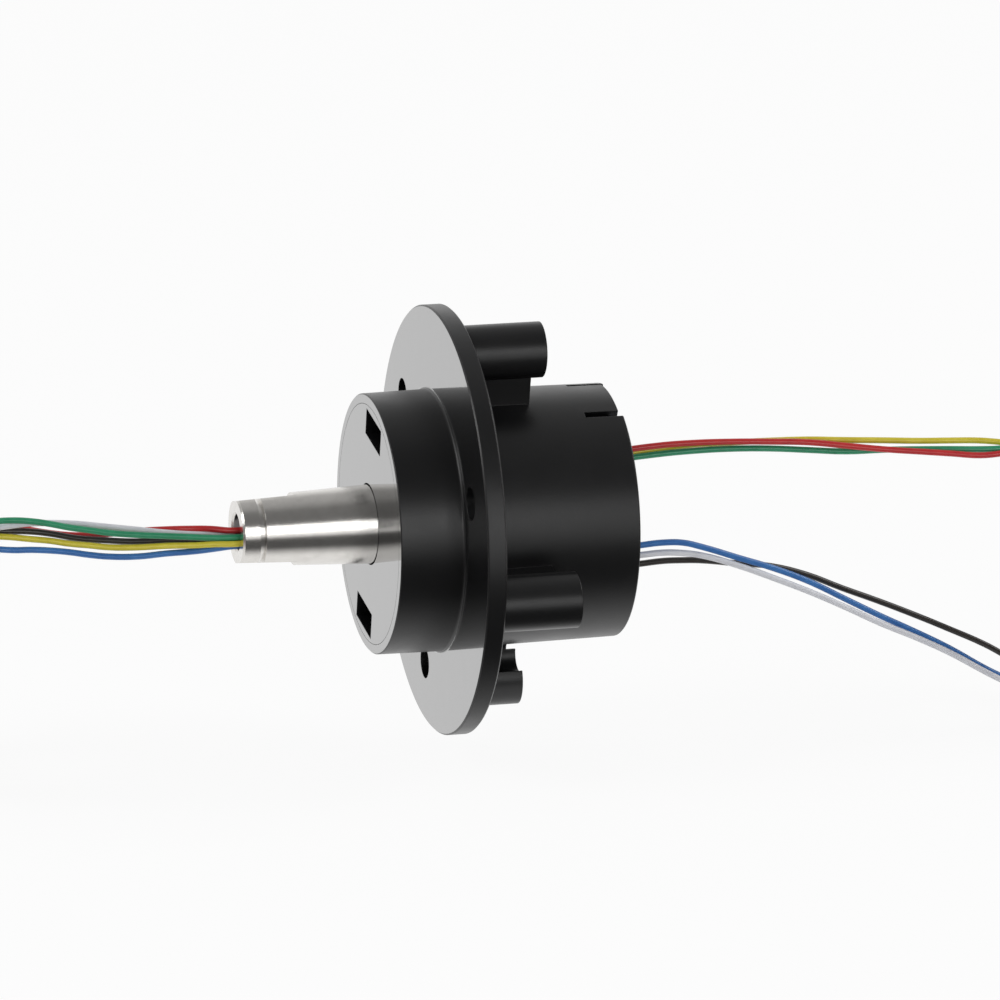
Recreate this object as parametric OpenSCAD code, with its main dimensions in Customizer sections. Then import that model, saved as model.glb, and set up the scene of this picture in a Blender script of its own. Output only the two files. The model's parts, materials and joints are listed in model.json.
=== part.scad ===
// Flanged capsule slip ring with six circuits.
// The spin axis lies along X. The shaft points to -X and the capsule to +X.
// The origin is the centre of the flange's front face, and Z is up.
// Clock angles turn about X, from +Y towards +Z.

/* [Flange] */
// Diameter of the mounting flange
flange_d = 44; // [43:0.5:60]
// Thickness of the mounting flange
flange_t = 2; // [1.5:0.1:4]
// Chamfer on the flange's rims
rim_chamfer = 0.15; // [0.05:0.05:0.4]
// Number of screw holes in the flange
hole_count = 3; // [2:1:4]
// Diameter of the flange's screw holes
hole_d = 3.4; // [2.2:0.1:3.8]
// Pitch circle of the flange's screw holes
hole_pcd = 32; // [31.5:0.1:34]
// Clock angle of the first screw hole
hole_clock = 41; // [0:1:120]

/* [Hub] */
// Diameter of the hub where it meets the flange
hub_d = 26.8; // [26.4:0.1:27.6]
// Length of the hub in front of the flange
hub_len = 6.7; // [6:0.1:10]
// Draft of the hub, as a loss of diameter over its length
hub_draft = 0.16; // [0:0.02:0.3]
// Radius of the fillet between hub and flange
hub_fillet = 0.3; // [0.1:0.1:0.6]

/* [Capsule] */
// Diameter of the capsule behind the flange
capsule_d = 26.4; // [26:0.1:28]
// Length of the capsule behind the flange
capsule_len = 16.4; // [16:0.1:22]
// Draft of the capsule, as a loss of diameter over its length
capsule_draft = 0.4; // [0:0.05:0.6]
// Bore of the hub and the capsule
cavity_d = 23.2; // [23:0.1:24]
// Bore of the capsule's mouth, where the rear cover sits
mouth_d = 24; // [23.7:0.1:24.4]
// Depth from the capsule's end to the rear cover's outer face
cover_depth = 1; // [0.8:0.1:1.6]

/* [Snap tongues] */
// Clock angle of the first of two opposite tongues
tongue_clock = 102; // [60:1:120]
// Width of a tongue as an angle
tongue_angle = 32; // [24:1:50]
// Length of the slits beside a tongue
slit_len = 4; // [3:0.1:6]
// Width of the slits
slit_w = 0.8; // [0.5:0.1:1.4]
// Height of the bead inside the tongue's tip
bead_h = 0.35; // [0.2:0.05:0.4]
// Amount by which the tongue is shorter than the wall
tongue_gap = 0.4; // [0.2:0.1:0.7]

/* [Screw posts] */
// Number of screw posts behind the flange
post_count = 4; // [2:1:6]
// Diameter of a screw post
post_d = 5.7; // [5:0.1:6.2]
// Length of the posts behind the flange
post_len = 8.1; // [5:0.1:14]
// Pitch circle of the screw posts
post_pcd = 37.6; // [37:0.1:38]
// Clock angle of the first post
post_clock = 14; // [0:1:60]
// Diameter of the pilot hole in a post
pilot_d = 2.2; // [1.6:0.1:3]
// Depth of the pilot hole
pilot_depth = 6.5; // [3:0.1:8]
// Thickness of the web between post and capsule
web_t = 1.8; // [1:0.1:3]
// Distance from the post's end to the web's end
web_step = 1; // [0.5:0.1:3]

/* [Front cover] */
// Diameter of the front cover
front_cover_d = 24.6; // [24.2:0.1:24.8]
// Thickness of the front cover
front_cover_t = 1.6; // [1.2:0.1:2]
// Bore of the front cover round the shaft
shaft_hole_d = 8.4; // [8.3:0.02:8.8]
// Length of the cover's two slots
slot_len = 6; // [4:0.1:8]
// Width of the cover's two slots
slot_w = 2.75; // [1.5:0.05:3]
// Distance from the axis to the middle of a slot
slot_r = 10.2; // [10.1:0.05:10.4]
// Clock angle of the first of two opposite slots
slot_clock = 101; // [90:1:110]

/* [Rear cover] */
// Thickness of the rear cover
rear_cover_t = 1.8; // [1.6:0.1:2.4]
// Depth of the recess behind the shaft's end
end_recess = 0.9; // [0.8:0.1:1.2]
// Length of a lead exit, across the radius
exit_len = 3.6; // [3.3:0.1:5]
// Width of a lead exit, along the radius
exit_w = 2.2; // [2:0.1:2.3]
// Distance from the axis to the middle of a lead exit
exit_r = 9.6; // [9.55:0.05:9.7]
// Clock angle of the first of two opposite lead exits
exit_clock = 17; // [0:1:40]

/* [Shaft] */
// Length of the shaft in front of the hub
shaft_out = 13.9; // [13:0.1:15]
// Diameter of the shaft's tip
tip_d = 6.94; // [6.6:0.02:7.4]
// Diameter of the shaft where it enters the hub
root_d = 8.1; // [8.02:0.02:8.2]
// Diameter of the shaft inside the capsule, where the bearings sit
seat_d = 8; // [7.9:0.02:8]
// Bore of the shaft
bore_d = 3.7; // [3.6:0.1:4.2]
// Length of the two flats at the tip
flat_len = 5.9; // [4:0.1:7]
// Depth of the flats
flat_depth = 0.32; // [0.2:0.02:0.5]
// Clock angle of the first flat
flat_clock = 76; // [0:1:180]
// Distance from the tip to the middle of the groove
groove_at = 2.1; // [1.5:0.1:3]
// Width of the groove
groove_w = 0.6; // [0.4:0.05:0.9]
// Depth of the groove below the shaft's surface
groove_depth = 0.5; // [0.35:0.05:0.6]
// Chamfer at the tip
tip_chamfer = 0.2; // [0.1:0.05:0.3]

/* [Bearings] */
// Outer diameter of both bearings
bearing_d = 14; // [13.6:0.1:14.2]
// Width of both bearings
bearing_w = 3.5; // [3:0.1:3.6]
// Wall of a bearing's inner ring
inner_wall = 0.95; // [0.85:0.05:1.1]
// Wall of a bearing's outer ring
outer_wall = 0.95; // [0.85:0.05:1.05]
// Diameter of a ball
ball_d = 1.588; // [1.5:0.02:1.6]
// Number of balls in a bearing
ball_count = 11; // [7:1:12]
// Thickness of the preload washer in front of the front bearing
washer_t = 0.3; // [0.2:0.05:0.4]
// Wall of the seats that hold the bearings
seat_wall = 1.35; // [1:0.05:1.4]

/* [Contact rings] */
// Number of contact rings
ring_count = 6; // [2:1:6]
// Width of a contact ring
ring_w = 1.1; // [0.8:0.05:1.3]
// Distance from one ring to the next
ring_pitch = 2.1; // [1.9:0.05:2.15]
// Outer diameter of a contact ring
ring_d = 12.8; // [12.4:0.1:13]
// Thickness of a contact ring
ring_t = 0.8; // [0.5:0.05:0.9]
// Outer diameter of the core's barriers between the rings
barrier_d = 13.8; // [13.6:0.1:14.2]
// Diameter of the wire hole under each ring
tail_hole_d = 0.9; // [0.7:0.05:1]
// Diameter of the wires inside the bore
tail_d = 0.5; // [0.3:0.05:0.55]
// Distance from the axis to the wires inside the bore
tail_r = 1.15; // [1:0.05:1.3]

/* [Brushes] */
// Width of a brush block
block_w = 8; // [7:0.1:8.2]
// Thickness of a brush block
block_t = 1.8; // [1.5:0.1:2]
// Diameter of a brush wire
brush_d = 0.3; // [0.2:0.02:0.36]
// Length of a brush wire along its ring
brush_len = 5.5; // [4:0.1:6]
// Clearance between a brush wire and its ring
brush_gap = 0.05; // [0.02:0.01:0.08]

/* [Leads] */
// Diameter of a lead over its insulation
lead_d = 0.65; // [0.5:0.01:0.68]
// Distance between leads that lie side by side in a coil
lead_pitch = 0.74; // [0.7:0.01:0.8]
// Radius of the outermost turn in a coil
coil_r = 13; // [11:0.5:15]
// Radius of the innermost turn in a coil
coil_r_in = 7.3; // [6:0.1:9]
// Width of the tie round a coil
tie_w = 2.5; // [1.5:0.1:4]
// Thickness of the tie
tie_t = 0.6; // [0.4:0.1:1]

/* [Clearances] */
// Clearance between parts that are fitted together
fit = 0.05; // [0.02:0.01:0.1]
// Clearance between parts that pass each other
play = 0.2; // [0.1:0.05:0.25]

/* [Hidden] */
$fn = 96;
eps = 0.01;

// Stations along X
hub_x = -hub_len;
tip_x = hub_x - shaft_out;
capsule_x = flange_t + capsule_len;
rear_out_x = capsule_x - cover_depth;
rear_in_x = rear_out_x - rear_cover_t;
front_in_x = hub_x + front_cover_t;
front_bearing_x = front_in_x + washer_t + fit;
rear_bearing_x = rear_in_x - 0.4 - bearing_w;
core_x = front_bearing_x + bearing_w + fit;
core_end_x = rear_bearing_x - fit;
shaft_end_x = rear_in_x + end_recess - play;
rings_x = (core_x + core_end_x) / 2 - (ring_count - 1) * ring_pitch / 2;
plug_x = tip_x + 3.1;
plug_len = 3.5;

// Clip that holds the rear bearing on the shaft
clip_t = 0.4;
clip_x = rear_bearing_x + bearing_w + fit;
clip_h = 0.9;

// Radii worked out from the sizes above
hub_r = hub_d / 2;
capsule_r = capsule_d / 2;
seat_r = bearing_d / 2 + fit;
seat_out_r = seat_r + seat_wall;
race_r = ball_d / 2 + 0.02;
inner_ring_d = seat_d + 2 * inner_wall;
outer_ring_d = bearing_d - 2 * outer_wall;
ball_pcr = (inner_ring_d + outer_ring_d) / 4;
core_r = ring_d / 2 - ring_t;
block_r = seat_out_r + fit;
brush_r = ring_d / 2 + brush_gap + brush_d / 2;

// The bends between leads and coils, and the middles of the two coils [x, y, z]
bend_r = 4;
rotor_coil_at = [-54, 4, -10.8];
stator_coil_at = [71, 0, -10.1];
coil_half = lead_pitch + lead_d / 2 + 0.12;
coil_out_r = coil_r + lead_d / 2 + 0.12;
coil_in_r = coil_r_in - lead_d / 2 - 0.12;

// Routes of the rotor's leads, from the plug in the shaft's bore to the coil
rotor_green = [
    [-17.5, -0.6, -0.4], [-21, -0.6, -0.4], [-23, -0.6, -0.3], [-25, -0.6, -0.1],
    [-28, -0.6, 0.2], [-31, -0.6, 0.5], [-34, -0.6, 0.9], [-36, -0.6, 1.3], [-38, -0.6, 1.7],
    [-40, -0.6, 2.2], [-42, -0.6, 2.6], [-44, -0.6, 2.8], [-46, -0.7, 2.8], [-48, -0.7, 2.5],
    [-50, -0.7, 2.2], [-51.2, -0.6, 2.2], [-52.4, -0.1, 2.2]];
rotor_white = [
    [-17.5, 0.9, -0.5], [-21, 0.9, -0.4], [-23, 0.8, -0.3], [-25, 0.6, -0.1], [-28, 0.5, 0.3],
    [-31, 0.5, 0.8], [-34, 0.4, 1.3], [-37, 0.3, 1.8], [-40, 0.2, 2.1], [-42, 0.1, 2.2],
    [-44, 0, 2.1], [-46, 0, 2], [-48, 0, 2.1], [-50, 0, 2.2], [-51.2, 0.2, 2.2], [-52.4, 0.8, 2.2]];
rotor_red = [
    [-17.5, 0.3, 0.1], [-21, 0.4, 0.1], [-23, 0.8, 0.3], [-25, 1.4, 0.3], [-28, 1.4, 0.4],
    [-31, 1.4, 0.4], [-34, 1.3, 0.3], [-37, 1.2, 0.4], [-40, 1.1, 0.9], [-42, 1, 1.4],
    [-44, 0.9, 2], [-46, 0.8, 2.3], [-48, 0.8, 2.3], [-50, 0.8, 2.2], [-51.2, 1, 2.2],
    [-52.4, 1.8, 2.2]];
rotor_blue = [
    [-17.5, -0.2, -1.4], [-21, -0.2, -1.4], [-23, -0.4, -1.5], [-25, -0.5, -1.6], [-28, -0.7, -1.6],
    [-31, -0.8, -1.7], [-34, -0.9, -1.5], [-36, -0.9, -1.2], [-38, -0.9, -0.8], [-40, -0.9, -0.5],
    [-42, -0.9, -0.3], [-44, -0.9, -0.2], [-46, -0.8, 0.1], [-48, -0.8, 0.9], [-50, -0.7, 1.4],
    [-51.2, -0.6, 1.5], [-52.4, -0.1, 1.5]];
rotor_yellow = [
    [-17.5, -0.9, -1], [-21, -0.9, -1], [-23, -0.9, -0.9], [-25, -0.8, -0.9], [-28, -0.7, -0.8],
    [-31, -0.6, -0.8], [-34, -0.6, -0.6], [-36, -0.5, -0.3], [-38, -0.5, 0], [-40, -0.4, 0.4],
    [-42, -0.4, 0.7], [-44, -0.3, 1], [-46, -0.2, 1.2], [-48, -0.1, 1.4], [-50, 0, 1.4],
    [-51.2, 0.2, 1.5], [-52.4, 0.8, 1.5]];
rotor_black = [
    [-17.5, 0.5, -1.2], [-21, 0.5, -1.1], [-23, 0.5, -0.9], [-25, 0.5, -0.7], [-28, 0.4, -0.5],
    [-31, 0.3, -0.4], [-34, 0.3, -0.1], [-37, 0.3, 0.3], [-40, 0.3, 1], [-42, 0.4, 1.3],
    [-44, 0.6, 1.4], [-46, 0.7, 1.5], [-48, 0.8, 1.5], [-50, 0.8, 1.4], [-51.2, 1, 1.5],
    [-52.4, 1.8, 1.5]];

// Routes of the stator's leads, from the exit plugs to the coil
stator_red = [
    [17.4, 8.7, 3.2], [19.4, 8.7, 3.3], [22, 8.6, 3.9], [26, 8.1, 4.4], [30, 7.6, 4.6],
    [34, 7.1, 4.6], [38, 6.5, 4.5], [42, 6, 4.3], [46, 5.5, 3.8], [50, 5, 3.3], [54, 4.6, 2.9],
    [57, 4.3, 2.6], [60, 4, 2.3], [62, 3.8, 2.4], [64, 3.5, 2.7], [67, 3.3, 2.9], [68.6, 2.9, 2.9],
    [69.4, 2.2, 2.9]];
stator_green = [
    [17.4, 9, 2.2], [19.4, 9, 2.3], [22, 8.9, 2.9], [26, 8.4, 3.4], [30, 7.8, 3.7], [34, 7.3, 3.8],
    [38, 6.8, 3.7], [42, 6.4, 3.4], [46, 6, 3.1], [50, 5.7, 3.1], [54, 5.4, 3], [57, 5.1, 2.9],
    [60, 4.7, 2.8], [62, 4.4, 2.8], [64, 4.2, 2.9], [67, 4, 2.9], [68.4, 3.7, 2.9], [69.4, 3.2, 2.9]];
stator_yellow = [
    [17.4, 9.5, 3.2], [19.4, 9.5, 3.2], [22, 9.5, 3.3], [26, 9, 3.8], [30, 8.5, 4.2], [34, 8, 4.3],
    [38, 7.4, 4.4], [42, 6.9, 4.4], [46, 6.5, 4.2], [50, 6.2, 4], [54, 5.8, 3.8], [57, 5.6, 3.7],
    [60, 5.3, 3.6], [62, 5.1, 3.4], [64, 4.9, 3.1], [67, 4.7, 2.9], [68.4, 4.5, 2.9],
    [69.4, 4.1, 2.9]];
stator_blue = [
    [17.4, -9.5, -1.8], [19.4, -9.5, -1.6], [22, -9.4, -1.5], [24, -9.2, -1.7], [26, -9, -2.3],
    [30, -8.5, -3.8], [34, -8, -5.3], [38, -7.4, -7.1], [42, -6.8, -9.3], [46, -6.2, -11.5],
    [50, -5.5, -13.6], [54, -4.9, -15.8], [58, -4.3, -18.3], [60, -4.1, -19.4], [62, -4, -20.3],
    [64, -4, -21], [66, -4, -21.5], [67, -4, -21.6], [68.4, -3.7, -21.6], [69.4, -3.2, -21.6]];
stator_white = [
    [17.4, -9.2, -2.8], [19.4, -9.2, -2.7], [22, -9.2, -2.6], [24, -9.1, -2.8], [26, -9, -3.2],
    [30, -8.6, -4.6], [34, -8.2, -6.3], [38, -7.8, -8.1], [42, -7.3, -10.1], [46, -6.8, -12.2],
    [50, -6.2, -14.1], [54, -5.6, -16.2], [58, -5, -18.6], [60, -4.9, -19.7], [62, -4.8, -20.6],
    [64, -4.7, -21.2], [66, -4.7, -21.5], [67, -4.7, -21.6], [68.4, -4.5, -21.6],
    [69.4, -4.1, -21.6]];
stator_black = [
    [17.4, -8.9, -3.8], [19.4, -8.9, -3.7], [22, -8.7, -3.6], [24, -8.5, -3.7], [26, -8.2, -3.9],
    [30, -7.6, -4.6], [34, -7, -5.3], [38, -6.4, -6.6], [42, -5.9, -8.4], [46, -5.5, -10.1],
    [50, -5.1, -11.9], [54, -4.7, -13.8], [58, -4.2, -15.8], [60, -3.9, -17], [62, -3.6, -18.3],
    [64, -3.4, -19.7], [66, -3.3, -21.1], [67, -3.3, -21.5], [68.6, -2.9, -21.6],
    [69.4, -2.2, -21.6]];

// ---------- helpers ----------

// Places something drawn along Z so that it runs along X from x
module along_x(x = 0) {
    translate([x, 0, 0]) rotate([0, 90, 0]) children();
}

// Turns something drawn on the +Y side to a clock angle
module clocked(angle) {
    rotate([angle, 0, 0]) children();
}

// A tube along X from x
module tube_x(x, len, r_out, r_in) {
    along_x(x) difference() {
        cylinder(h = len, r = r_out);
        translate([0, 0, -eps]) cylinder(h = len + 2 * eps, r = r_in);
    }
}

// A solid turned about X from points [radius, x]
module turned(points) {
    along_x() rotate_extrude() polygon(points);
}

// A sector of a cylinder along X, centred on a clock angle
module sector_x(x, len, r, middle, angle) {
    clocked(middle - angle / 2) along_x(x) rotate([0, 0, 90])
        rotate_extrude(angle = angle) square([r, len]);
}

// A unit vector
function unit(v) = v / norm(v);

// The direction of a route at point i
function heading(p, i) =
    unit(p[min(i + 1, len(p) - 1)] - p[max(i - 1, 0)]);

// A lead swept along a route, with eight sides
module lead(route) {
    sides = 8;
    rings = [
        for (i = [0 : len(route) - 1])
            let (t = heading(route, i), n = unit(cross(t, [0, 0, 1])), b = cross(n, t))
                for (k = [0 : sides - 1])
                    let (a = 360 * k / sides)
                        route[i] + lead_d / 2 * (cos(a) * n + sin(a) * b)];
    last = len(route) - 1;
    walls = [
        for (i = [0 : last - 1]) for (k = [0 : sides - 1])
            let (a = i * sides + k, b = i * sides + (k + 1) % sides)
                [a, b, b + sides, a + sides]];
    caps = [
        [for (k = [sides - 1 : -1 : 0]) k],
        [for (k = [0 : sides - 1]) last * sides + k]];
    polyhedron(points = rings, faces = concat(walls, caps));
}

// The outer shape of a coil of leads round X
module lead_coil(at) {
    translate([0, at[1], at[2]])
        tube_x(at[0] - coil_half, 2 * coil_half, coil_out_r, coil_in_r);
}

// A band round the lowest part of a coil
module coil_tie(at) {
    slack = 0.2;
    inner = [2 * (coil_half + slack / 2), tie_w + 1, coil_out_r - coil_in_r + 2 * slack];
    outer = [inner[0] + 2 * tie_t, tie_w, inner[2] + 2 * tie_t];
    translate([at[0], at[1], at[2] - (coil_out_r + coil_in_r) / 2]) difference() {
        cube(outer, center = true);
        cube(inner, center = true);
    }
}

// ---------- stator ----------

// The moulded body: hub, flange, capsule wall, posts and webs
module housing() {
    color([0.09, 0.09, 0.1]) difference() {
        union() {
            housing_turned();
            for (i = [0 : post_count - 1])
                clocked(post_clock + i * 360 / post_count) post();
        }
        housing_bore();
        for (i = [0 : hole_count - 1])
            clocked(hole_clock + i * 360 / hole_count) translate([0, hole_pcd / 2, 0])
                along_x(-eps) cylinder(h = flange_t + post_len + 2 * eps, r = hole_d / 2);
        for (i = [0 : post_count - 1])
            clocked(post_clock + i * 360 / post_count) translate([0, post_pcd / 2, 0])
                along_x(flange_t + post_len - pilot_depth) cylinder(h = pilot_depth + eps, r = pilot_d / 2);
        for (side = [0, 180]) tongue_slits(tongue_clock + side);
    }
    color([0.09, 0.09, 0.1]) for (side = [0, 180]) tongue_bead(tongue_clock + side);
}

// The outside of hub, flange and capsule, closed to the axis
module housing_turned() {
    front_r = hub_r - hub_draft / 2;
    rear_r = capsule_r - capsule_draft / 2;
    f = hub_fillet;
    steps = 6;
    fillet = [
        for (i = [0 : steps])
            let (a = 90 * i / steps) [hub_r + f - f * cos(a), -f + f * sin(a)]];
    turned(concat(
        [[0, hub_x], [front_r - 0.1, hub_x], [front_r, hub_x + 0.1]],
        fillet,
        [[flange_d / 2 - rim_chamfer, 0], [flange_d / 2, rim_chamfer],
         [flange_d / 2, flange_t - rim_chamfer], [flange_d / 2 - rim_chamfer, flange_t],
         [capsule_r, flange_t], [rear_r, capsule_x - 0.1], [rear_r - 0.1, capsule_x],
         [0, capsule_x]]));
}

// The cavity through the moulding, with a seat at each end
module housing_bore() {
    along_x(hub_x - eps) cylinder(h = front_cover_t + eps, r = front_cover_d / 2 + fit);
    along_x(hub_x) cylinder(h = capsule_x - hub_x + eps, r = cavity_d / 2);
    along_x(rear_in_x) cylinder(h = capsule_x - rear_in_x + eps, r = mouth_d / 2);
}

// A screw post with its web, on the +Y side
module post() {
    translate([0, post_pcd / 2, 0]) along_x(flange_t - eps) cylinder(h = post_len + eps, r = post_d / 2);
    web_in = capsule_r - 1;
    translate([flange_t - eps, web_in, -web_t / 2])
        cube([post_len - web_step + eps, post_pcd / 2 - web_in, web_t]);
}

// The two slits beside a tongue, and the gap above its tip
module tongue_slits(clock) {
    for (s = [-1, 1])
        clocked(clock + s * tongue_angle / 2)
            translate([capsule_x - slit_len, cavity_d / 2 - 1, -slit_w / 2])
                cube([slit_len + eps, capsule_r, slit_w]);
    intersection() {
        tube_x(capsule_x - tongue_gap, tongue_gap + 1, capsule_r + 1, cavity_d / 2 - 1);
        sector_x(capsule_x - 2, 4, capsule_r + 2, clock, tongue_angle);
    }
}

// The bead inside a tongue's tip, which holds the rear cover
module tongue_bead(clock) {
    bead_x = rear_out_x + fit;
    slit_angle = slit_w / capsule_r * 180 / PI;
    intersection() {
        turned([
            [mouth_d / 2 + 0.2, bead_x], [mouth_d / 2 - bead_h, bead_x],
            [mouth_d / 2 - bead_h, bead_x + 0.15], [mouth_d / 2, capsule_x - tongue_gap],
            [mouth_d / 2 + 0.2, capsule_x - tongue_gap]]);
        sector_x(bead_x - 1, 4, capsule_r + 2, clock, tongue_angle - slit_angle - 1);
    }
}

// The disc in the hub's face, with the front bearing's seat
module front_cover() {
    color([0.1, 0.1, 0.11]) difference() {
        union() {
            along_x(hub_x) cylinder(h = front_cover_t, r = front_cover_d / 2);
            along_x(front_in_x - eps)
                cylinder(h = core_x - fit - front_in_x + eps, r = seat_out_r);
        }
        along_x(hub_x - eps) cylinder(h = front_cover_t + 1, r = shaft_hole_d / 2);
        along_x(front_in_x) cylinder(h = capsule_len, r = seat_r);
        for (side = [0, 180])
            clocked(slot_clock + side) translate([hub_x - eps, slot_r - slot_w / 2, -slot_len / 2])
                cube([front_cover_t + 2 * eps, slot_w, slot_len]);
    }
}

// The disc in the capsule's mouth, with the rear bearing's seat and two lead exits
module rear_cover() {
    color([0.09, 0.09, 0.1]) difference() {
        union() {
            along_x(rear_in_x + fit)
                cylinder(h = rear_cover_t - fit, r = mouth_d / 2 - fit);
            along_x(rear_bearing_x)
                cylinder(h = rear_in_x - rear_bearing_x + fit + eps, r = seat_out_r);
        }
        along_x(rear_bearing_x - eps) cylinder(h = bearing_w + eps, r = seat_r);
        along_x(rear_bearing_x) cylinder(h = rear_in_x + end_recess - rear_bearing_x, r = seat_r - 0.9);
        for (side = [0, 180]) clocked(exit_clock + side) exit_shape(rear_in_x - 1, rear_cover_t + 2, 0);
    }
}

// The outline of a lead exit with round ends, on the +Y side
module exit_shape(x, len, gap) {
    reach = exit_len / 2 - exit_w / 2;
    for (s = [-1, 1])
        translate([x, exit_r, s * reach]) along_x() cylinder(h = len, r = exit_w / 2 - gap);
    translate([x, exit_r - exit_w / 2 + gap, -reach]) cube([len, exit_w - 2 * gap, 2 * reach]);
}

// The resin that seals a lead exit, from the brush block to the cover's face
module exit_plug(clock) {
    color([0.13, 0.13, 0.13]) clocked(clock)
        exit_shape(rear_in_x, rear_out_x - rear_in_x, fit);
}

// A brush block between the two covers, on the +Y side
module brush_block(clock) {
    x = front_in_x + fit;
    color([0.16, 0.42, 0.25]) clocked(clock)
        translate([x, block_r, -block_w / 2]) cube([rear_in_x - fit - x, block_t, block_w]);
}

// One row of brush wires, each with a leg down from its block
module brushes(clock) {
    leg_z = brush_len / 2;
    color([0.85, 0.66, 0.25]) clocked(clock) for (i = [0 : ring_count - 1])
        translate([rings_x + i * ring_pitch, 0, 0]) {
            translate([0, brush_r, -leg_z]) cylinder(h = brush_len, r = brush_d / 2);
            translate([0, brush_r, leg_z]) rotate([-90, 0, 0])
                cylinder(h = block_r - brush_r, r = brush_d / 2);
            translate([0, brush_r, leg_z]) sphere(r = brush_d / 2);
        }
}

module preload_washer() {
    color([0.7, 0.71, 0.72]) tube_x(front_in_x, washer_t, seat_r - fit, outer_ring_d / 2 - 0.4);
}

// ---------- bearings ----------

// The outer ring of a bearing, with its race
module bearing_outer_ring(x) {
    color([0.72, 0.73, 0.75]) difference() {
        tube_x(x, bearing_w, bearing_d / 2, outer_ring_d / 2);
        race(x);
    }
}

// The inner ring of a bearing, with its race
module bearing_inner_ring(x) {
    color([0.72, 0.73, 0.75]) difference() {
        tube_x(x, bearing_w, inner_ring_d / 2, seat_d / 2);
        race(x);
    }
}

// The ring of space that the balls run in
module race(x) {
    along_x(x + bearing_w / 2) rotate_extrude() translate([ball_pcr, 0]) circle(r = race_r, $fn = 48);
}

module bearing_balls(x) {
    color([0.8, 0.81, 0.83]) for (i = [0 : ball_count - 1])
        clocked(i * 360 / ball_count) translate([x + bearing_w / 2, ball_pcr, 0])
            sphere(r = ball_d / 2, $fn = 32);
}

// The cage is a ring with a pocket for each ball
module bearing_cage(x) {
    cage_w = 2.2;
    cage_wall = 0.3;
    color([0.75, 0.68, 0.5]) difference() {
        tube_x(x + (bearing_w - cage_w) / 2, cage_w, ball_pcr + cage_wall / 2, ball_pcr - cage_wall / 2);
        for (i = [0 : ball_count - 1])
            clocked(i * 360 / ball_count) translate([x + bearing_w / 2, ball_pcr - cage_wall, 0])
                rotate([-90, 0, 0]) cylinder(h = 2 * cage_wall, r = ball_d / 2 + fit);
    }
}

// ---------- rotor ----------

// The hollow shaft, tapered and with two flats in front of the hub
module shaft() {
    taper = (root_d - tip_d) / 2 / shaft_out;
    groove_x = tip_x + groove_at;
    groove_r = tip_d / 2 + taper * groove_at - groove_depth;
    seat_x = front_in_x;
    color([0.78, 0.77, 0.74]) difference() {
        turned([
            [0, tip_x], [tip_d / 2 - tip_chamfer, tip_x], [tip_d / 2, tip_x + tip_chamfer],
            [root_d / 2, hub_x], [root_d / 2, seat_x], [seat_d / 2, seat_x],
            [seat_d / 2, shaft_end_x - 0.2], [seat_d / 2 - 0.2, shaft_end_x], [0, shaft_end_x]]);
        along_x(tip_x - eps) cylinder(h = shaft_end_x - tip_x + 2 * eps, r = bore_d / 2);
        along_x(tip_x - eps)
            cylinder(h = tip_chamfer + eps, r1 = bore_d / 2 + tip_chamfer, r2 = bore_d / 2);
        tube_x(groove_x - groove_w / 2, groove_w, root_d, groove_r);
        tube_x(clip_x, clip_t + fit, root_d, seat_d / 2 - clip_h / 2);
        for (side = [0, 180]) clocked(flat_clock + side) flat_cut(taper);
        tail_holes();
    }
}

// The space that one flat removes, sloped like the taper
module flat_cut(taper) {
    translate([tip_x + flat_len, tip_d / 2 + taper * flat_len - flat_depth, -root_d])
        rotate([0, 0, atan(taper)]) translate([-flat_len - 1, 0, 0])
            cube([flat_len + 1, root_d, 2 * root_d]);
}

// The radial holes that lead each ring's wire into the bore
module tail_holes() {
    for (i = [0 : ring_count - 1])
        clocked(i * 360 / ring_count) translate([rings_x + i * ring_pitch, 0, 0])
            rotate([-90, 0, 0]) cylinder(h = ring_d / 2 + 2, r = tail_hole_d / 2);
}

module shaft_clip() {
    color([0.35, 0.34, 0.33]) difference() {
        tube_x(clip_x + fit / 2, clip_t, seat_d / 2 + clip_h, seat_d / 2 - clip_h / 2 + fit);
        translate([clip_x - 1, 0, -1.2]) cube([3, bearing_d, 2.4]);
    }
}

// The resin in the shaft's bore that the rotor's leads come out of
module bore_plug() {
    color([0.15, 0.14, 0.13]) along_x(plug_x) cylinder(h = plug_len, r = bore_d / 2 - fit / 2);
}

// The moulded core that carries the contact rings, with a barrier beside each
module rotor_core() {
    color([0.85, 0.84, 0.8]) difference() {
        tube_x(core_x, core_end_x - core_x, barrier_d / 2, seat_d / 2);
        for (i = [0 : ring_count - 1])
            tube_x(rings_x + i * ring_pitch - ring_w / 2, ring_w, barrier_d, core_r);
        tail_holes();
        tube_x(core_x - eps, 0.6, barrier_d, inner_ring_d / 2);
        tube_x(core_end_x - 0.6, 0.6 + eps, barrier_d, inner_ring_d / 2);
    }
}

module contact_ring(i) {
    color([0.88, 0.69, 0.28])
        tube_x(rings_x + i * ring_pitch - ring_w / 2 + 0.01, ring_w - 0.02, ring_d / 2, core_r);
}

// The wires from the plug along the bore and out to each ring
module rotor_wire_tails() {
    start = plug_x + plug_len;
    color([0.75, 0.42, 0.25]) for (i = [0 : ring_count - 1])
        clocked(i * 360 / ring_count) {
            x = rings_x + i * ring_pitch;
            translate([0, tail_r, 0]) along_x(start) cylinder(h = x - start, r = tail_d / 2);
            translate([x, tail_r, 0]) sphere(r = tail_d / 2);
            translate([x, tail_r, 0]) rotate([-90, 0, 0])
                cylinder(h = core_r - tail_r, r = tail_d / 2);
        }
}

// ---------- parts ----------

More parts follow.
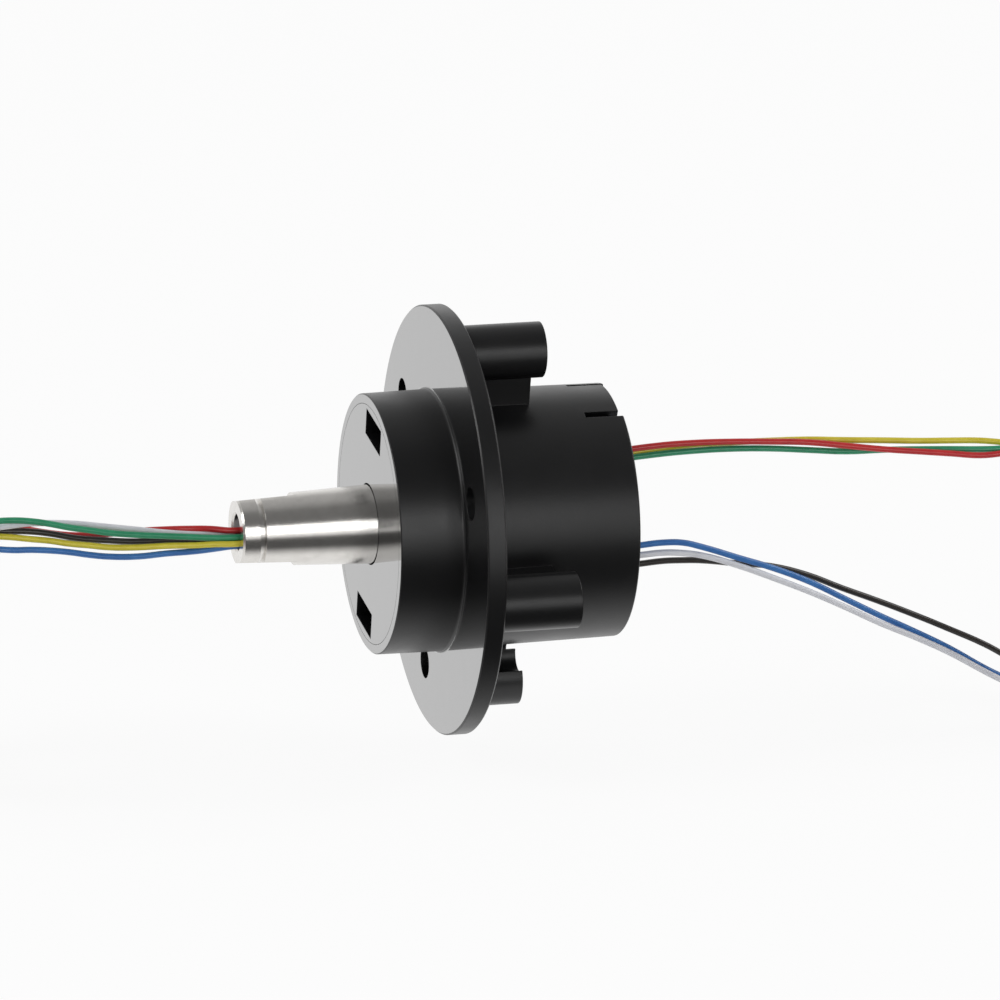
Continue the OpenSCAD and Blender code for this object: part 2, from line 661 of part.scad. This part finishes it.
housing();
front_cover();
rear_cover();
exit_plug(exit_clock);  // exit_plug_upper
exit_plug(exit_clock + 180);  // exit_plug_lower
brush_block(exit_clock);  // brush_block_upper
brush_block(exit_clock + 180);  // brush_block_lower
brushes(exit_clock);  // brushes_upper
brushes(exit_clock + 180);  // brushes_lower
preload_washer();
bearing_outer_ring(front_bearing_x);  // front_bearing_outer_ring
bearing_outer_ring(rear_bearing_x);  // rear_bearing_outer_ring
bearing_inner_ring(front_bearing_x);  // front_bearing_inner_ring
bearing_inner_ring(rear_bearing_x);  // rear_bearing_inner_ring
bearing_balls(front_bearing_x);  // front_bearing_balls
bearing_balls(rear_bearing_x);  // rear_bearing_balls
bearing_cage(front_bearing_x);  // front_bearing_cage
bearing_cage(rear_bearing_x);  // rear_bearing_cage
shaft();
shaft_clip();
bore_plug();
rotor_core();
contact_ring(0);  // contact_ring_1
contact_ring(1);  // contact_ring_2
contact_ring(2);  // contact_ring_3
contact_ring(3);  // contact_ring_4
contact_ring(4);  // contact_ring_5
contact_ring(5);  // contact_ring_6
rotor_wire_tails();
color([0.72, 0.12, 0.15]) lead(rotor_red);  // rotor_lead_red
color([0.2, 0.6, 0.42]) lead(rotor_green);  // rotor_lead_green
color([0.85, 0.8, 0.25]) lead(rotor_yellow);  // rotor_lead_yellow
color([0.25, 0.45, 0.72]) lead(rotor_blue);  // rotor_lead_blue
color([0.86, 0.86, 0.88]) lead(rotor_white);  // rotor_lead_white
color([0.16, 0.14, 0.13]) lead(rotor_black);  // rotor_lead_black
color([0.5, 0.5, 0.48]) lead_coil(rotor_coil_at);  // rotor_lead_coil
color([0.1, 0.1, 0.1]) coil_tie(rotor_coil_at);  // rotor_coil_tie
color([0.78, 0.2, 0.18]) lead(stator_red);  // stator_lead_red
color([0.2, 0.6, 0.42]) lead(stator_green);  // stator_lead_green
color([0.85, 0.8, 0.25]) lead(stator_yellow);  // stator_lead_yellow
color([0.25, 0.45, 0.72]) lead(stator_blue);  // stator_lead_blue
color([0.86, 0.86, 0.88]) lead(stator_white);  // stator_lead_white
color([0.16, 0.14, 0.13]) lead(stator_black);  // stator_lead_black
color([0.5, 0.5, 0.48]) lead_coil(stator_coil_at);  // stator_lead_coil
color([0.1, 0.1, 0.1]) coil_tie(stator_coil_at);  // stator_coil_tie
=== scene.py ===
import json
import math
import bpy
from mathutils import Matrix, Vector


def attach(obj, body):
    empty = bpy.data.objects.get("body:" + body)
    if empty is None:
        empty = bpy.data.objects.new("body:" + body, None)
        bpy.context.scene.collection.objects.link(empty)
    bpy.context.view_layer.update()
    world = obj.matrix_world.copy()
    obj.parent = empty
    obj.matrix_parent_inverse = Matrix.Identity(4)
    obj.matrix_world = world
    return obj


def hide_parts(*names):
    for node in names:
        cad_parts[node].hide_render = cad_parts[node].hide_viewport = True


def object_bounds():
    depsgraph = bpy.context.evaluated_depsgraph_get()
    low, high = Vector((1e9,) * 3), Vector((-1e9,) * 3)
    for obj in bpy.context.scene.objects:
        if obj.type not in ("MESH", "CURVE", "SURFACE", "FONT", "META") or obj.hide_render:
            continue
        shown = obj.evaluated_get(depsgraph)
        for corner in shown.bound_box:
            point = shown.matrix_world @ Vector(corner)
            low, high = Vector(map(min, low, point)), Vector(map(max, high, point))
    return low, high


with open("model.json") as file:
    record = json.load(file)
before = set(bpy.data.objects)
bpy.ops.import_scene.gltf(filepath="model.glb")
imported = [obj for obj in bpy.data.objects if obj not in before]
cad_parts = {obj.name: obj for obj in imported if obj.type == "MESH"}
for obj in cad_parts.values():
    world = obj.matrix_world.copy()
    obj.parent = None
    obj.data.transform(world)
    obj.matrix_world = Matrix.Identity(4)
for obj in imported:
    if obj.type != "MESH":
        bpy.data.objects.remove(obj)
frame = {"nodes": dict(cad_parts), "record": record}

MM = 0.001
cad_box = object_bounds()
nodes = frame["nodes"]
scene = bpy.context.scene


# ---------- camera ----------

def add_camera():
    """The photograph's view: a long lens, 0.9 m from the flange's middle."""
    azimuth, elevation, distance = math.radians(-14.72), math.radians(13.6), 0.9
    back = Vector((math.sin(azimuth) * math.cos(elevation),
                   -math.cos(azimuth) * math.cos(elevation), math.sin(elevation)))
    cam = bpy.data.objects.new("camera", bpy.data.cameras.new("camera"))
    scene.collection.objects.link(cam)
    cam.location = back * distance
    cam.rotation_mode = "QUATERNION"
    cam.rotation_quaternion = (-back).to_track_quat("-Z", "Y")
    cam.data.sensor_width = 36
    cam.data.lens = 317.65
    cam.data.shift_x, cam.data.shift_y = 0.0677, 0.020
    cam.data.clip_start, cam.data.clip_end = 0.01, 20
    scene.camera = cam


add_camera()


# ---------- leads ----------

LEAD_D = 0.65
PITCH = 0.74
COIL_R = 13.0
BEND_R = 4.0
LEAD_LEN = 250.0
TIP_LEN = 5.0
ROTOR_COIL = (-54.0, 4.0, -10.8)
STATOR_COIL = (71.0, 0.0, -10.1)

# The routes are those of part.scad, from the exits to the bends before the coils
ROTOR = {
    "green": (0, 1, [
        (-17.5, -0.6, -0.4), (-21, -0.6, -0.4), (-23, -0.6, -0.3), (-25, -0.6, -0.1),
        (-28, -0.6, 0.2), (-31, -0.6, 0.5), (-34, -0.6, 0.9), (-36, -0.6, 1.3), (-38, -0.6, 1.7),
        (-40, -0.6, 2.2), (-42, -0.6, 2.6), (-44, -0.6, 2.8), (-46, -0.7, 2.8), (-48, -0.7, 2.5),
        (-50, -0.7, 2.2), (-51.2, -0.6, 2.2), (-52.4, -0.1, 2.2)]),
    "white": (0, 0, [
        (-17.5, 0.9, -0.5), (-21, 0.9, -0.4), (-23, 0.8, -0.3), (-25, 0.6, -0.1), (-28, 0.5, 0.3),
        (-31, 0.5, 0.8), (-34, 0.4, 1.3), (-37, 0.3, 1.8), (-40, 0.2, 2.1), (-42, 0.1, 2.2),
        (-44, 0, 2.1), (-46, 0, 2), (-48, 0, 2.1), (-50, 0, 2.2), (-51.2, 0.2, 2.2),
        (-52.4, 0.8, 2.2)]),
    "red": (0, -1, [
        (-17.5, 0.3, 0.1), (-21, 0.4, 0.1), (-23, 0.8, 0.3), (-25, 1.4, 0.3), (-28, 1.4, 0.4),
        (-31, 1.4, 0.4), (-34, 1.3, 0.3), (-37, 1.2, 0.4), (-40, 1.1, 0.9), (-42, 1, 1.4),
        (-44, 0.9, 2), (-46, 0.8, 2.3), (-48, 0.8, 2.3), (-50, 0.8, 2.2), (-51.2, 1, 2.2),
        (-52.4, 1.8, 2.2)]),
    "blue": (1, 1, [
        (-17.5, -0.2, -1.4), (-21, -0.2, -1.4), (-23, -0.4, -1.5), (-25, -0.5, -1.6),
        (-28, -0.7, -1.6), (-31, -0.8, -1.7), (-34, -0.9, -1.5), (-36, -0.9, -1.2),
        (-38, -0.9, -0.8), (-40, -0.9, -0.5), (-42, -0.9, -0.3), (-44, -0.9, -0.2),
        (-46, -0.8, 0.1), (-48, -0.8, 0.9), (-50, -0.7, 1.4), (-51.2, -0.6, 1.5),
        (-52.4, -0.1, 1.5)]),
    "yellow": (1, 0, [
        (-17.5, -0.9, -1), (-21, -0.9, -1), (-23, -0.9, -0.9), (-25, -0.8, -0.9), (-28, -0.7, -0.8),
        (-31, -0.6, -0.8), (-34, -0.6, -0.6), (-36, -0.5, -0.3), (-38, -0.5, 0), (-40, -0.4, 0.4),
        (-42, -0.4, 0.7), (-44, -0.3, 1), (-46, -0.2, 1.2), (-48, -0.1, 1.4), (-50, 0, 1.4),
        (-51.2, 0.2, 1.5), (-52.4, 0.8, 1.5)]),
    "black": (1, -1, [
        (-17.5, 0.5, -1.2), (-21, 0.5, -1.1), (-23, 0.5, -0.9), (-25, 0.5, -0.7), (-28, 0.4, -0.5),
        (-31, 0.3, -0.4), (-34, 0.3, -0.1), (-37, 0.3, 0.3), (-40, 0.3, 1), (-42, 0.4, 1.3),
        (-44, 0.6, 1.4), (-46, 0.7, 1.5), (-48, 0.8, 1.5), (-50, 0.8, 1.4), (-51.2, 1, 1.5),
        (-52.4, 1.8, 1.5)]),
}
STATOR = {
    "red": (0, -1, [
        (17.4, 8.7, 3.2), (19.4, 8.7, 3.3), (22, 8.6, 3.9), (26, 8.1, 4.4), (30, 7.6, 4.6),
        (34, 7.1, 4.6), (38, 6.5, 4.5), (42, 6, 4.3), (46, 5.5, 3.8), (50, 5, 3.3), (54, 4.6, 2.9),
        (57, 4.3, 2.6), (60, 4, 2.3), (62, 3.8, 2.4), (64, 3.5, 2.7), (67, 3.3, 2.9),
        (68.6, 2.9, 2.9), (69.4, 2.2, 2.9)]),
    "green": (0, 0, [
        (17.4, 9, 2.2), (19.4, 9, 2.3), (22, 8.9, 2.9), (26, 8.4, 3.4), (30, 7.8, 3.7),
        (34, 7.3, 3.8), (38, 6.8, 3.7), (42, 6.4, 3.4), (46, 6, 3.1), (50, 5.7, 3.1), (54, 5.4, 3),
        (57, 5.1, 2.9), (60, 4.7, 2.8), (62, 4.4, 2.8), (64, 4.2, 2.9), (67, 4, 2.9),
        (68.4, 3.7, 2.9), (69.4, 3.2, 2.9)]),
    "yellow": (0, 1, [
        (17.4, 9.5, 3.2), (19.4, 9.5, 3.2), (22, 9.5, 3.3), (26, 9, 3.8), (30, 8.5, 4.2),
        (34, 8, 4.3), (38, 7.4, 4.4), (42, 6.9, 4.4), (46, 6.5, 4.2), (50, 6.2, 4), (54, 5.8, 3.8),
        (57, 5.6, 3.7), (60, 5.3, 3.6), (62, 5.1, 3.4), (64, 4.9, 3.1), (67, 4.7, 2.9),
        (68.4, 4.5, 2.9), (69.4, 4.1, 2.9)]),
    "blue": (1, 0, [
        (17.4, -9.5, -1.8), (19.4, -9.5, -1.6), (22, -9.4, -1.5), (24, -9.2, -1.7), (26, -9, -2.3),
        (30, -8.5, -3.8), (34, -8, -5.3), (38, -7.4, -7.1), (42, -6.8, -9.3), (46, -6.2, -11.5),
        (50, -5.5, -13.6), (54, -4.9, -15.8), (58, -4.3, -18.3), (60, -4.1, -19.4), (62, -4, -20.3),
        (64, -4, -21), (66, -4, -21.5), (67, -4, -21.6), (68.4, -3.7, -21.6), (69.4, -3.2, -21.6)]),
    "white": (1, 1, [
        (17.4, -9.2, -2.8), (19.4, -9.2, -2.7), (22, -9.2, -2.6), (24, -9.1, -2.8), (26, -9, -3.2),
        (30, -8.6, -4.6), (34, -8.2, -6.3), (38, -7.8, -8.1), (42, -7.3, -10.1), (46, -6.8, -12.2),
        (50, -6.2, -14.1), (54, -5.6, -16.2), (58, -5, -18.6), (60, -4.9, -19.7), (62, -4.8, -20.6),
        (64, -4.7, -21.2), (66, -4.7, -21.5), (67, -4.7, -21.6), (68.4, -4.5, -21.6),
        (69.4, -4.1, -21.6)]),
    "black": (1, -1, [
        (17.4, -8.9, -3.8), (19.4, -8.9, -3.7), (22, -8.7, -3.6), (24, -8.5, -3.7), (26, -8.2, -3.9),
        (30, -7.6, -4.6), (34, -7, -5.3), (38, -6.4, -6.6), (42, -5.9, -8.4), (46, -5.5, -10.1),
        (50, -5.1, -11.9), (54, -4.7, -13.8), (58, -4.2, -15.8), (60, -3.9, -17), (62, -3.6, -18.3),
        (64, -3.4, -19.7), (66, -3.3, -21.1), (67, -3.3, -21.5), (68.6, -2.9, -21.6),
        (69.4, -2.2, -21.6)]),
}


def turn_point(coil, side, sense, row, column, angle):
    """A point in a coil: side is the way the leads come in along X, sense the end of the coil they
    enter at (1 top, -1 bottom)."""
    r = COIL_R - PITCH * row - 2 * PITCH * angle / (2 * math.pi)
    return (coil[0] + side * PITCH * column,
            coil[1] - side * sense * r * math.sin(angle),
            coil[2] + sense * r * math.cos(angle))


def whole_route(points, coil, row, column, side, sense):
    """The route, the rest of its bend, and turns of the coil until the lead's length is used up.
    Returns the lead's points and those of its bare tip."""
    points = list(points)
    radius = BEND_R + PITCH * column
    start = math.asin(min(1, (abs(points[-1][0]) - abs(coil[0]) + BEND_R) / radius))
    for k in (1, 2, 3):
        a = start + (math.pi / 2 - start) * k / 3
        points.append((coil[0] - side * BEND_R + side * radius * math.sin(a),
                       coil[1] + side * sense * radius * math.cos(a), points[-1][2]))
    used = sum(math.dist(a, b) for a, b in zip(points, points[1:]))
    step = math.radians(18)
    angle = 0.0
    tip = []
    while used < LEAD_LEN:
        angle += step
        p = turn_point(coil, side, sense, row, column, angle)
        used += math.dist(points[-1] if not tip else tip[-1], p)
        if used > LEAD_LEN - TIP_LEN:
            tip.append(p)
        else:
            points.append(p)
    return points, [points[-1]] + tip


def tube(name, points, diameter, body, sides=3):
    """A round tube through points given in millimetres, as a mesh."""
    data = bpy.data.curves.new(name, "CURVE")
    data.dimensions = "3D"
    data.bevel_depth = diameter / 2 * MM
    data.bevel_resolution = sides
    data.resolution_u = 4
    data.use_fill_caps = True
    spline = data.splines.new("BEZIER")
    spline.bezier_points.add(len(points) - 1)
    for b, p in zip(spline.bezier_points, points):
        b.co = Vector(p) * MM
        b.handle_left_type = b.handle_right_type = "AUTO"
    line = bpy.data.objects.new(name + "_line", data)
    scene.collection.objects.link(line)
    shown = line.evaluated_get(bpy.context.evaluated_depsgraph_get())
    mesh = bpy.data.meshes.new_from_object(shown)
    bpy.data.objects.remove(line)
    bpy.data.curves.remove(data)
    mesh.polygons.foreach_set("use_smooth", [True] * len(mesh.polygons))
    obj = bpy.data.objects.new(name, mesh)
    scene.collection.objects.link(obj)
    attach(obj, body)
    return obj


leads, tips = {}, []
for body, coil, routes, side in (("rotor", ROTOR_COIL, ROTOR, -1), ("stator", STATOR_COIL, STATOR, 1)):
    for colour, (row, column, points) in routes.items():
        sense = -1 if body == "stator" and row == 1 else 1
        route, end = whole_route(points, coil, row, column, side, sense)
        obj = tube(f"{body}_{colour}", route, LEAD_D, body)
        tip = tube(f"{body}_{colour}_tip", end, 0.42, body, 2)
        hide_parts(f"{body}_lead_{colour}", f"{body}_lead_coil")
        [c * MM for c in route[0]]
        [[c * MM for c in p] for p in route]
        leads[body, colour] = obj
        tips.append(tip)



# ---------- materials ----------

class Nodes:
    """A short way to write a material's node tree."""

    def __init__(self, name):
        self.mat = bpy.data.materials.new(name)
        self.mat.use_nodes = True
        self.tree = self.mat.node_tree
        self.tree.nodes.clear()
        self.coords = self.add("ShaderNodeTexCoord")
        self.shader = self.add("ShaderNodeBsdfPrincipled")
        out = self.add("ShaderNodeOutputMaterial")
        self.link(self.shader.outputs[0], out.inputs["Surface"])

    def add(self, kind, **values):
        node = self.tree.nodes.new(kind)
        for key, value in values.items():
            setattr(node, key, value)
        return node

    def link(self, a, b):
        self.tree.links.new(a, b)

    def put(self, socket, value):
        if isinstance(value, bpy.types.NodeSocket):
            self.link(value, socket)
        else:
            socket.default_value = value

    def math(self, op, a, b=0.0, c=0.0, clamp=False):
        node = self.add("ShaderNodeMath", operation=op, use_clamp=clamp)
        for socket, value in zip(node.inputs, (a, b, c)):
            self.put(socket, value)
        return node.outputs[0]

    def ramp(self, value, stops):
        """Values between stops of (place, colour or number)."""
        node = self.add("ShaderNodeValToRGB")
        self.put(node.inputs[0], value)
        while len(node.color_ramp.elements) < len(stops):
            node.color_ramp.elements.new(0.5)
        for element, (at, v) in zip(node.color_ramp.elements, stops):
            element.position = at
            element.color = (v, v, v, 1) if isinstance(v, (int, float)) else (*v, 1)
        return node.outputs[0]

    def place(self, scale=(1, 1, 1)):
        """Object coordinates in millimetres, stretched by scale."""
        node = self.add("ShaderNodeMapping")
        self.link(self.coords.outputs["Object"], node.inputs["Vector"])
        node.inputs["Scale"].default_value = tuple(1000 * k for k in scale)
        return node.outputs[0]

    def noise(self, per_mm, detail=3.0, rough=0.5, stretch=(1, 1, 1), seed=0.0):
        """Noise from 0 to 1 with so many features to a millimetre."""
        node = self.add("ShaderNodeTexNoise", noise_dimensions="4D")
        self.link(self.place(stretch), node.inputs["Vector"])
        node.inputs["W"].default_value = seed
        node.inputs["Scale"].default_value = per_mm
        node.inputs["Detail"].default_value = detail
        node.inputs["Roughness"].default_value = rough
        return node.outputs["Fac"]

    def bump(self, height, depth_mm, strength=1.0, normal=None):
        node = self.add("ShaderNodeBump")
        node.inputs["Strength"].default_value = strength
        node.inputs["Distance"].default_value = depth_mm * MM
        self.link(height, node.inputs["Height"])
        if normal is not None:
            self.link(normal, node.inputs["Normal"])
        return node.outputs[0]

    def rounded(self, radius_mm):
        node = self.add("ShaderNodeBevel", samples=4)
        node.inputs["Radius"].default_value = radius_mm * MM
        return node.outputs[0]

    def set(self, **values):
        for key, value in values.items():
            self.put(self.shader.inputs[key.replace("_", " ")], value)
        return self.mat


def moulded_plastic(name, tone, wall_rough, seed):
    """Glossy black moulding: mirror-like on its flat ends, satin and finely grained on its walls."""
    n = Nodes(name)
    facing = n.add("ShaderNodeSeparateXYZ")
    n.link(n.coords.outputs["Normal"], facing.inputs[0])
    flat = n.math("SMOOTH_MIN", n.math("MULTIPLY", n.math("ABSOLUTE", facing.outputs["X"]), 1.02), 1.0, 0.1)
    end = n.ramp(flat, [(0.9, 0.0), (0.97, 1.0)])
    cloud = n.noise(0.25, 4, 0.6, seed=seed)
    fine = n.noise(6.0, 3, 0.6, seed=seed + 1)
    wall = n.math("ADD", n.math("MULTIPLY", cloud, 0.16), wall_rough - 0.08)
    wall = n.math("ADD", wall, n.math("MULTIPLY", fine, 0.06))
    glossy = n.math("ADD", n.math("MULTIPLY", cloud, 0.05), 0.07)
    mix = n.add("ShaderNodeMix", data_type="FLOAT")
    n.put(mix.inputs["Factor"], end)
    n.put(mix.inputs["A"], wall)
    n.put(mix.inputs["B"], glossy)
    grain = n.noise(5.0, 2, 0.5, seed=seed + 2)
    wave = n.noise(0.35, 2, 0.5, seed=seed + 3)
    edge = n.rounded(0.12)
    keep = n.math("SUBTRACT", 1.0, n.math("MULTIPLY", end, 0.9))
    normal = n.bump(n.math("MULTIPLY", grain, keep), 0.012, 0.5, edge)
    normal = n.bump(wave, 0.03, 0.3, normal)
    dust = n.ramp(n.noise(2.2, 5, 0.7, seed=seed + 4), [(0.70, tone), (0.78, tuple(c + 0.05 for c in tone))])
    return n.set(Base_Color=dust, Roughness=mix.outputs[0], Normal=normal, IOR=1.5,
                 Coat_Weight=end, Coat_Roughness=0.05, Coat_IOR=1.8)


def satin_metal(name, tone, dark, rough, seed, turned=0.0, grain=1.0):
    """Metal with a fine grain and, where it is turned, rings of tool marks about X."""
    n = Nodes(name)
    tint = n.ramp(n.noise(0.9, 5, 0.65, seed=seed), [(0.3, dark), (0.62, tone)])
    speck = n.noise(7.0, 3, 0.7, seed=seed + 1)
    r = n.math("ADD", n.math("MULTIPLY", speck, 0.16), rough - 0.08)
    normal = n.bump(speck, 0.012 * grain, 0.6, n.rounded(0.06))
    if turned:
        marks = n.noise(1.0, 6, 0.75, stretch=(9, 0.05, 0.05), seed=seed + 2)
        normal = n.bump(marks, 0.02 * turned, 0.7, normal)
    return n.set(Base_Color=tint, Metallic=1.0, Roughness=r, Normal=normal)


def plain_plastic(name, tone, light, rough, seed, grain=3.0, depth=0.01, ior=1.5, coat=0.0):
    """Plastic or resin with faint clouding and a fine surface."""
    n = Nodes(name)
    tint = n.ramp(n.noise(0.6, 5, 0.6, seed=seed), [(0.3, tone), (0.7, light)])
    fine = n.noise(grain, 4, 0.6, seed=seed + 1)
    r = n.math("ADD", n.math("MULTIPLY", fine, 0.14), rough - 0.07)
    normal = n.bump(fine, depth, 0.6, n.rounded(0.05))
    return n.set(Base_Color=tint, Roughness=r, Normal=normal, IOR=ior, Coat_Weight=coat,
                 Coat_Roughness=0.1)


def insulation(colour, tone, light, seed):
    """Extruded insulation: glossy, with slow ripples along the lead and a trace of dust."""
    n = Nodes(f"{colour}_insulation")
    cloud = n.noise(0.5, 4, 0.6, seed=seed)
    tint = n.ramp(cloud, [(0.35, tone), (0.68, light)])
    fine = n.noise(4.0, 3, 0.6, seed=seed + 1)
    r = n.math("ADD", n.math("MULTIPLY", fine, 0.14), 0.26)
    ripple = n.noise(0.8, 2, 0.5, seed=seed + 2)
    normal = n.bump(fine, 0.008, 0.5, n.bump(ripple, 0.05, 0.5))
    return n.set(Base_Color=tint, Roughness=r, Normal=normal, IOR=1.5)


def tinned(name, seed):
    """The bare end of a lead: strands twisted and tinned together."""
    n = Nodes(name)
    tint = n.ramp(n.noise(2.0, 3, 0.6, seed=seed), [(0.3, (0.5, 0.49, 0.47)), (0.7, (0.75, 0.74, 0.72))])
    strands = n.noise(2.5, 2, 0.5, stretch=(1, 3, 3), seed=seed + 1)
    return n.set(Base_Color=tint, Metallic=1.0, Roughness=n.math("ADD", n.math("MULTIPLY", strands, 0.2), 0.2),
                 Normal=n.bump(strands, 0.03, 0.7))


paints = {
    "black_plastic": moulded_plastic("black_plastic", (0.004, 0.004, 0.0045), 0.32, 1.0),
    "cover_plastic": moulded_plastic("cover_plastic", (0.005, 0.005, 0.0055), 0.30, 11.0),
    "resin": plain_plastic("resin", (0.012, 0.012, 0.012), (0.03, 0.03, 0.03), 0.3, 21.0, coat=0.3),
    "board": plain_plastic("board", (0.03, 0.16, 0.07), (0.06, 0.24, 0.12), 0.45, 31.0, 5.0),
    "gold": satin_metal("gold", (0.83, 0.61, 0.22), (0.74, 0.52, 0.18), 0.22, 41.0, 0.6),
    "steel": satin_metal("steel", (0.64, 0.65, 0.66), (0.55, 0.56, 0.57), 0.25, 51.0, 0.5),
    "cage_brass": satin_metal("cage_brass", (0.62, 0.5, 0.25), (0.52, 0.42, 0.2), 0.35, 61.0),
    "shaft_metal": satin_metal("shaft_metal", (0.72, 0.70, 0.67), (0.66, 0.64, 0.61), 0.2, 71.0, 0.5),
    "dark_steel": satin_metal("dark_steel", (0.17, 0.16, 0.15), (0.11, 0.1, 0.1), 0.4, 81.0),
    "core_plastic": plain_plastic("core_plastic", (0.7, 0.68, 0.62), (0.78, 0.76, 0.7), 0.4, 91.0),
    "copper": satin_metal("copper", (0.72, 0.38, 0.2), (0.6, 0.3, 0.15), 0.3, 101.0),
    "lead_bundle": plain_plastic("lead_bundle", (0.3, 0.3, 0.28), (0.4, 0.4, 0.38), 0.4, 111.0),
    "tie_plastic": plain_plastic("tie_plastic", (0.012, 0.012, 0.012), (0.03, 0.03, 0.03), 0.45, 121.0),
    "red_insulation": insulation("red", (0.52, 0.018, 0.022), (0.60, 0.03, 0.03), 131.0),
    "green_insulation": insulation("green", (0.02, 0.26, 0.12), (0.035, 0.34, 0.17), 141.0),
    "yellow_insulation": insulation("yellow", (0.66, 0.55, 0.03), (0.76, 0.66, 0.06), 151.0),
    "blue_insulation": insulation("blue", (0.03, 0.14, 0.42), (0.05, 0.2, 0.52), 161.0),
    "white_insulation": insulation("white", (0.68, 0.69, 0.74), (0.78, 0.79, 0.83), 171.0),
    "black_insulation": insulation("black", (0.022, 0.018, 0.016), (0.035, 0.03, 0.026), 181.0),
}
tin = tinned("tinned", 191.0)


def paint(obj, material):
    obj.data.materials.clear()
    obj.data.materials.append(material)


for part in frame["record"]["subparts"]:
    paint(nodes[part["node"]], paints[part["material_slot"]])
for (body, colour), obj in leads.items():
    paint(obj, paints[f"{colour}_insulation"])
for obj in tips:
    paint(obj, tin)


# ---------- floor, backdrop and light ----------

def add_floor():
    """A white floor that the object stands on, seen almost evenly white; in reflections it is a painted glow,
    with painted shade in front of the object.
    """
    z = cad_box[0].z
    data = bpy.data.meshes.new("floor")
    data.from_pydata([(-8, -8, z), (8, -8, z), (8, 8, z), (-8, 8, z)], [], [(0, 1, 2, 3)])
    floor = bpy.data.objects.new("floor", data)
    scene.collection.objects.link(floor)
    n = Nodes("floor")
    n.tree.nodes.remove(n.shader)
    out = next(x for x in n.tree.nodes if x.type == "OUTPUT_MATERIAL")
    diffuse, white = n.add("ShaderNodeBsdfDiffuse"), n.add("ShaderNodeEmission")
    diffuse.inputs["Color"].default_value = (0.9, 0.9, 0.9, 1)
    white.inputs["Color"].default_value = (1, 1, 1, 1)
    rays = n.add("ShaderNodeLightPath")
    seen = n.math("MULTIPLY", rays.outputs["Is Camera Ray"], 0.92)
    # Seen in reflections the floor is only a glow: a painted reflection of white light, with painted shade a
    # tenth as bright in a band in front of the object, on the camera's side
    place = n.add("ShaderNodeSeparateXYZ")
    n.link(n.coords.outputs["Object"], place.inputs[0])
    painted_shade_glow = n.ramp(n.math("ADD", n.math("MULTIPLY", place.outputs["Y"], 4.0), 0.5),
                    [(0.0, 1.0), (0.04, 0.1), (0.4, 0.1), (0.47, 1.0)])
    # Camera rays see mostly the even white glow; glossy rays see only the glow, a painted reflection with its
    # band of painted shade
    shown = n.math("MAXIMUM", seen, rays.outputs["Is Glossy Ray"])
    level = n.math("MAXIMUM", painted_shade_glow, rays.outputs["Is Camera Ray"])
    n.link(level, white.inputs["Strength"])
    mix = n.add("ShaderNodeMixShader")
    n.link(shown, mix.inputs[0])
    n.link(diffuse.outputs[0], mix.inputs[1])
    n.link(white.outputs[0], mix.inputs[2])
    n.link(mix.outputs[0], out.inputs["Surface"])
    paint(floor, n.mat)


def add_world():
    """White behind the object, grey above and in front of it. The camera sees white."""
    world = bpy.data.worlds.new("studio")
    scene.world = world
    world.use_nodes = True
    tree = world.node_tree
    tree.nodes.clear()
    add = tree.nodes.new
    out, coords, split = add("ShaderNodeOutputWorld"), add("ShaderNodeTexCoord"), add("ShaderNodeSeparateXYZ")
    tree.links.new(coords.outputs["Generated"], split.inputs[0])
    half = add("ShaderNodeMath")
    half.operation = "MULTIPLY_ADD"
    half.inputs[1].default_value = half.inputs[2].default_value = 0.5
    tree.links.new(split.outputs["Y"], half.inputs[0])
    ramp = add("ShaderNodeValToRGB")
    stops = [(0.0, 0.16), (0.35, 0.2), (0.55, 0.4), (0.8, 0.5), (0.95, 1.0)]
    while len(ramp.color_ramp.elements) < len(stops):
        ramp.color_ramp.elements.new(0.5)
    for element, (at, v) in zip(ramp.color_ramp.elements, stops):
        element.position = at
        element.color = (v, v, v, 1)
    tree.links.new(half.outputs[0], ramp.inputs[0])
    lit, seen, mix, rays = add("ShaderNodeBackground"), add("ShaderNodeBackground"), add("ShaderNodeMixShader"), add("ShaderNodeLightPath")
    tree.links.new(ramp.outputs[0], lit.inputs["Color"])
    seen.inputs["Color"].default_value = (1, 1, 1, 1)
    tree.links.new(rays.outputs["Is Camera Ray"], mix.inputs[0])
    tree.links.new(lit.outputs[0], mix.inputs[1])
    tree.links.new(seen.outputs[0], mix.inputs[2])
    tree.links.new(mix.outputs[0], out.inputs["Surface"])


def add_softbox(name, azimuth, elevation, distance, width, height, radiance):
    """A rectangular lamp that looks at the object."""
    a, e = math.radians(azimuth), math.radians(elevation)
    back = Vector((math.sin(a) * math.cos(e), -math.cos(a) * math.cos(e), math.sin(e)))
    lamp = bpy.data.lights.new(name, "AREA")
    lamp.shape = "RECTANGLE"
    lamp.size, lamp.size_y = width, height
    lamp.energy = radiance * math.pi * width * height
    obj = bpy.data.objects.new(name, lamp)
    scene.collection.objects.link(obj)
    obj.location = back * distance
    obj.rotation_mode = "QUATERNION"
    obj.rotation_quaternion = (-back).to_track_quat("-Z", "Y")
    obj.visible_camera = False


add_floor()
add_world()
add_softbox("front", 1.2, 12, 1.6, 0.69, 0.65, 4.0)
add_softbox("left", -85, 35, 1.6, 0.8, 0.8, 4.0)
add_softbox("right", 85, 35, 1.6, 0.8, 0.8, 4.0)
scene.view_settings.view_transform = "Standard"

bpy.context.view_layer.update()
